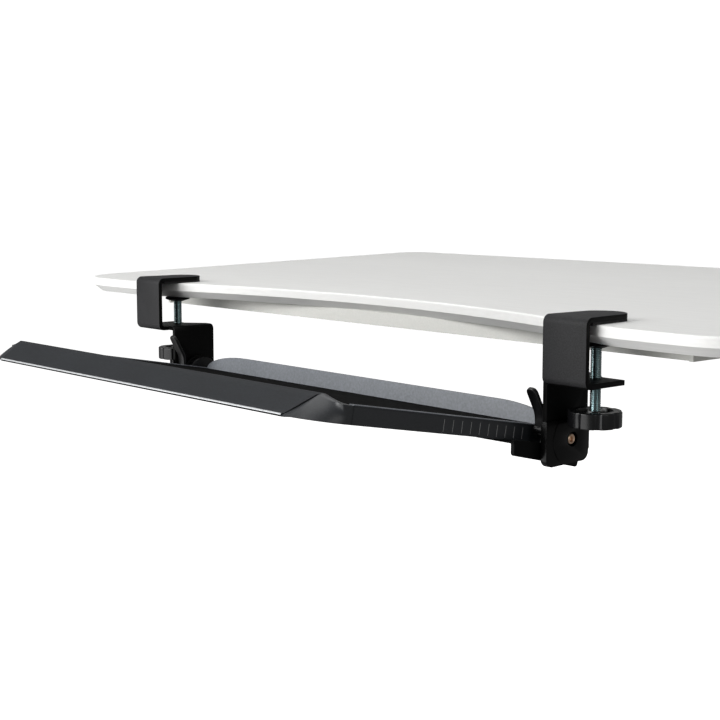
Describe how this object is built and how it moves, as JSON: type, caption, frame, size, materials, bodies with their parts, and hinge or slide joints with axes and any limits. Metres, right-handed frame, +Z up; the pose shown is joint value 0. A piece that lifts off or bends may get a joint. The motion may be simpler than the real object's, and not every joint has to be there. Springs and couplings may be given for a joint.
{
  "type": "computer desk with keyboard tray",
  "caption": "Thin curved-front desk top on a low steel under-frame, with a clamp-on keyboard tray that slides, tilts and unclamps.",
  "frame": {"origin": "middle of the four leg holes, on the underside of the leg plates", "axes": "+X to the user's right along the front edge, +Y from the user's side to the back, +Z up"},
  "size_m": [1.3156, 0.9787, 0.1388],
  "materials": {
    "worktop_laminate": "white satin laminate",
    "white_frame": "white powder coat",
    "zinc_steel": "bright zinc plate",
    "clamp_coat": "fine textured black powder coat",
    "black_rubber": "matte",
    "knob_plastic": "moulded, slightly glossy edges",
    "cover_plastic": "moulded satin black",
    "pivot_brass": "turned",
    "nylon_washer": "natural nylon",
    "rail_steel": "zinc plate",
    "tray_plastic": "fine moulded texture",
    "palm_plastic": "fine moulded texture"
  },
  "bodies": {
    "desk": {"desktop_panel": "worktop_laminate", "frame_front_rail": "white_frame", "frame_rear_rail": "white_frame", "frame_side_rail_left": "white_frame", "frame_side_rail_right": "white_frame", "leg_plate_front_left": "white_frame", "leg_plate_front_right": "white_frame", "leg_plate_rear_left": "white_frame", "leg_plate_rear_right": "white_frame", "leg_nuts": "zinc_steel", "frame_screws": "zinc_steel", "clamp_body_left": "clamp_coat", "clamp_body_right": "clamp_coat", "clamp_liner_left": "black_rubber", "clamp_liner_right": "black_rubber", "pivot_cover_left": "cover_plastic", "pivot_cover_right": "cover_plastic", "pivot_bolt_left": "pivot_brass", "pivot_bolt_right": "pivot_brass", "friction_washers_left": "nylon_washer", "friction_washers_right": "nylon_washer"},
    "arms": {"arm_left": "clamp_coat", "arm_right": "clamp_coat", "slide_shoe_left": "nylon_washer", "slide_shoe_right": "nylon_washer"},
    "tray": {"tray_panel": "tray_plastic", "palm_rest": "palm_plastic", "rear_guard": "tray_plastic", "tray_screws": "zinc_steel", "slide_rail_left": "rail_steel", "slide_rail_right": "rail_steel"},
    "lever_left": {"lever_left": "cover_plastic"},
    "pad_left": {"clamp_pad_left": "clamp_coat", "pad_rubber_left": "black_rubber"},
    "screw_left": {"clamp_screw_left": "zinc_steel", "clamp_knob_left": "knob_plastic"},
    "lever_right": {"lever_right": "cover_plastic"},
    "pad_right": {"clamp_pad_right": "clamp_coat", "pad_rubber_right": "black_rubber"},
    "screw_right": {"clamp_screw_right": "zinc_steel", "clamp_knob_right": "knob_plastic"}
  },
  "joints": [
    {"name": "tray_tilt", "type": "hinge", "parent": "desk", "child": "arms", "pos_m": [0, -0.3465, -0.0737], "axis": [1, 0, 0], "range_deg": [-4.5, 25.5]},
    {"name": "tray_slide", "type": "slide", "parent": "arms", "child": "tray", "axis": [0, -0.9833, 0.1822], "range_m": [-0.0954, 0]},
    {"name": "lever_left_swing", "type": "hinge", "parent": "desk", "child": "lever_left", "pos_m": [-0.2702, -0.3465, -0.0737], "axis": [1, 0, 0], "range_deg": [-55, 0]},
    {"name": "clamp_travel_left", "type": "slide", "parent": "desk", "child": "pad_left", "axis": [0, 0, 1], "range_m": [-0.0211, 0]},
    {"name": "clamp_turn_left", "type": "hinge", "parent": "pad_left", "child": "screw_left", "pos_m": [-0.3138, -0.3494, 0], "axis": [0, 0, 1], "range_deg": [-5065, 0]},
    {"name": "lever_right_swing", "type": "hinge", "parent": "desk", "child": "lever_right", "pos_m": [0.2702, -0.3465, -0.0737], "axis": [1, 0, 0], "range_deg": [-55, 0]},
    {"name": "clamp_travel_right", "type": "slide", "parent": "desk", "child": "pad_right", "axis": [0, 0, 1], "range_m": [-0.0211, 0]},
    {"name": "clamp_turn_right", "type": "hinge", "parent": "pad_right", "child": "screw_right", "pos_m": [0.3138, -0.3494, 0], "axis": [0, 0, 1], "range_deg": [-5065, 0]}
  ],
  "couplings": [
    {"joint": "clamp_turn_left", "follows": "clamp_travel_left", "rad_per_m": 4188.8},
    {"joint": "clamp_turn_right", "follows": "clamp_travel_right", "rad_per_m": 4188.8}
  ]
}
